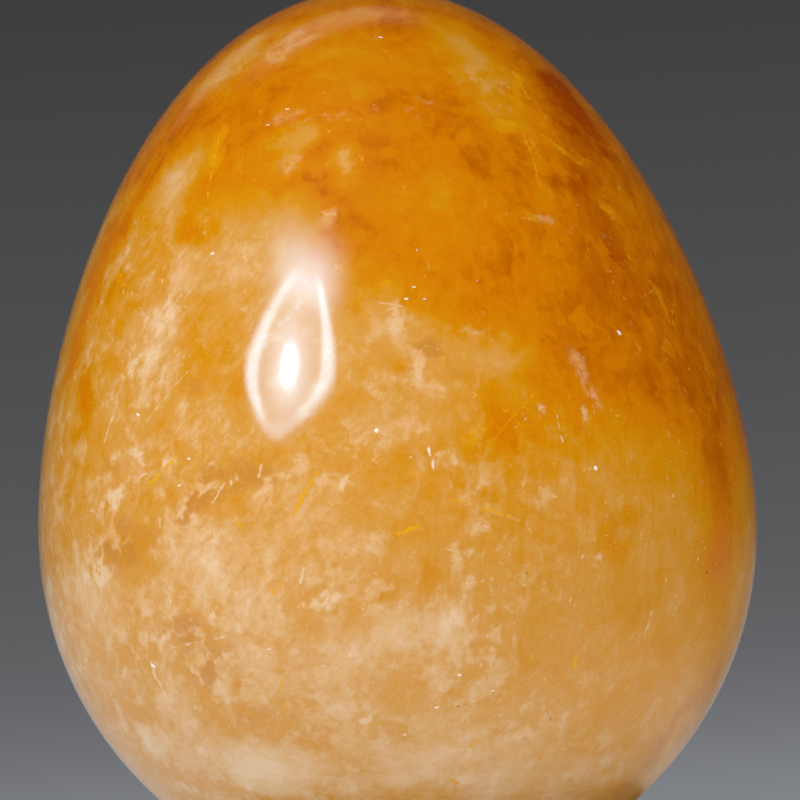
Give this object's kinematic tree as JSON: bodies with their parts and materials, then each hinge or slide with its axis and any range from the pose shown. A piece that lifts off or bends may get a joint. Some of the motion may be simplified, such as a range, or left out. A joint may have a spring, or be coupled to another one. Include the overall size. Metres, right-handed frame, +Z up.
{
  "type": "decorative egg on stand",
  "caption": "Polished golden quartz egg resting loose, blunt end down, in a felt-lined turned hardwood ring stand on bun feet.",
  "frame": {"origin": "on the table under the egg's axis, level with the underside of the foot pads", "axes": "+Z up along the egg's axis to its crown; -Y faces the camera of the picture, +X to its right"},
  "size_m": [0.055, 0.055, 0.0826],
  "materials": {
    "quartz": "high polish",
    "wood": "satin lacquer",
    "felt": "matte pressed felt"
  },
  "bodies": {
    "stand": {"seat_ring": "wood", "seat_liner": "felt", "foot_1": "wood", "foot_2": "wood", "foot_3": "wood", "foot_pad_1": "felt", "foot_pad_2": "felt", "foot_pad_3": "felt"},
    "egg": {"egg": "quartz"}
  },
  "joints": [
    {"name": "egg_lift", "type": "slide", "parent": "stand", "child": "egg", "axis": [0, 0, 1], "range_m": [0, 0.05]}
  ]
}
